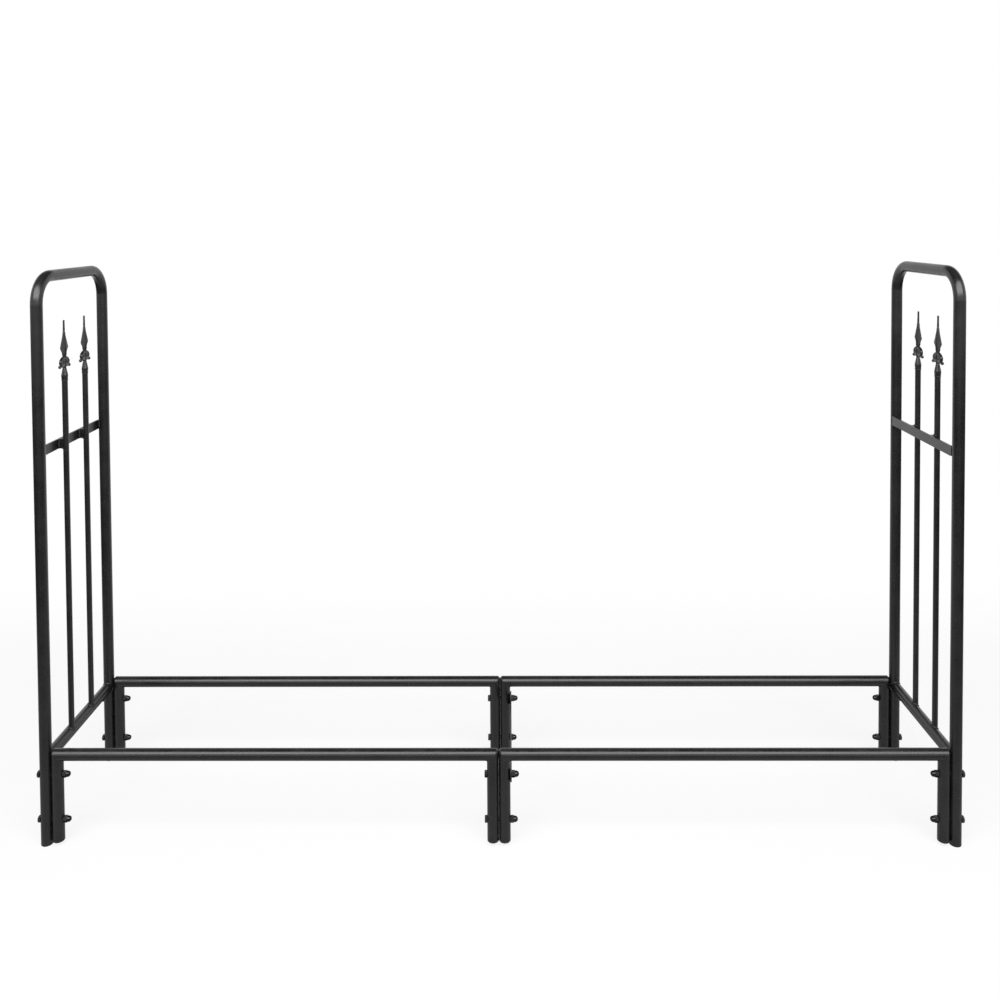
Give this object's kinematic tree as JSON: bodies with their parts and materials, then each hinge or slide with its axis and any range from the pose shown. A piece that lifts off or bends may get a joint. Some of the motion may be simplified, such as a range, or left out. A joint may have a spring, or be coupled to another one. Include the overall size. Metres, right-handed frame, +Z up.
{
  "type": "firewood rack",
  "caption": "Free-standing steel firewood rack: end hoops of bent round tube with spindles and cast finials, joined by bolted tubular rail frames on short legs.",
  "frame": {"origin": "on the floor under the middle of the rack", "axes": "+X along the rack to the right, +Y to the rear, +Z up; the front faces -Y"},
  "size_m": [2.016, 0.3504, 1.255],
  "materials": {
    "tube_coat": "semi-gloss black powder coat",
    "bar_coat": "semi-gloss black powder coat",
    "finial_casting": "semi-gloss black coat over cast iron",
    "fastener_black": "polished black zinc",
    "plug_plastic": "black moulded polyethylene"
  },
  "bodies": {
    "root": {"left_hoop": "tube_coat", "left_lower_cross_tube": "tube_coat", "left_upper_cross_bar": "bar_coat", "left_front_spindle": "bar_coat", "left_front_spacer_lug": "bar_coat", "left_front_finial": "finial_casting", "left_front_upright_plug": "plug_plastic", "left_rear_spindle": "bar_coat", "left_rear_spacer_lug": "bar_coat", "left_rear_finial": "finial_casting", "left_rear_upright_plug": "plug_plastic", "right_hoop": "tube_coat", "right_lower_cross_tube": "tube_coat", "right_upper_cross_bar": "bar_coat", "right_front_spindle": "bar_coat", "right_front_spacer_lug": "bar_coat", "right_front_finial": "finial_casting", "right_front_upright_plug": "plug_plastic", "right_rear_spindle": "bar_coat", "right_rear_spacer_lug": "bar_coat", "right_rear_finial": "finial_casting", "right_rear_upright_plug": "plug_plastic", "front_left_rail": "tube_coat", "front_left_outer_leg": "tube_coat", "front_left_outer_leg_plug": "plug_plastic", "front_left_inner_leg": "tube_coat", "front_left_inner_leg_plug": "plug_plastic", "front_left_outer_elbow": "tube_coat", "front_left_inner_elbow": "tube_coat", "front_right_rail": "tube_coat", "front_right_outer_leg": "tube_coat", "front_right_outer_leg_plug": "plug_plastic", "front_right_inner_leg": "tube_coat", "front_right_inner_leg_plug": "plug_plastic", "front_right_outer_elbow": "tube_coat", "front_right_inner_elbow": "tube_coat", "rear_left_rail": "tube_coat", "rear_left_outer_leg": "tube_coat", "rear_left_outer_leg_plug": "plug_plastic", "rear_left_inner_leg": "tube_coat", "rear_left_inner_leg_plug": "plug_plastic", "rear_left_outer_elbow": "tube_coat", "rear_left_inner_elbow": "tube_coat", "rear_right_rail": "tube_coat", "rear_right_outer_leg": "tube_coat", "rear_right_outer_leg_plug": "plug_plastic", "rear_right_inner_leg": "tube_coat", "rear_right_inner_leg_plug": "plug_plastic", "rear_right_outer_elbow": "tube_coat", "rear_right_inner_elbow": "tube_coat", "centre_tie_strap": "bar_coat", "leg_bolts": "fastener_black", "cap_nuts": "fastener_black"}
  },
  "joints": []
}
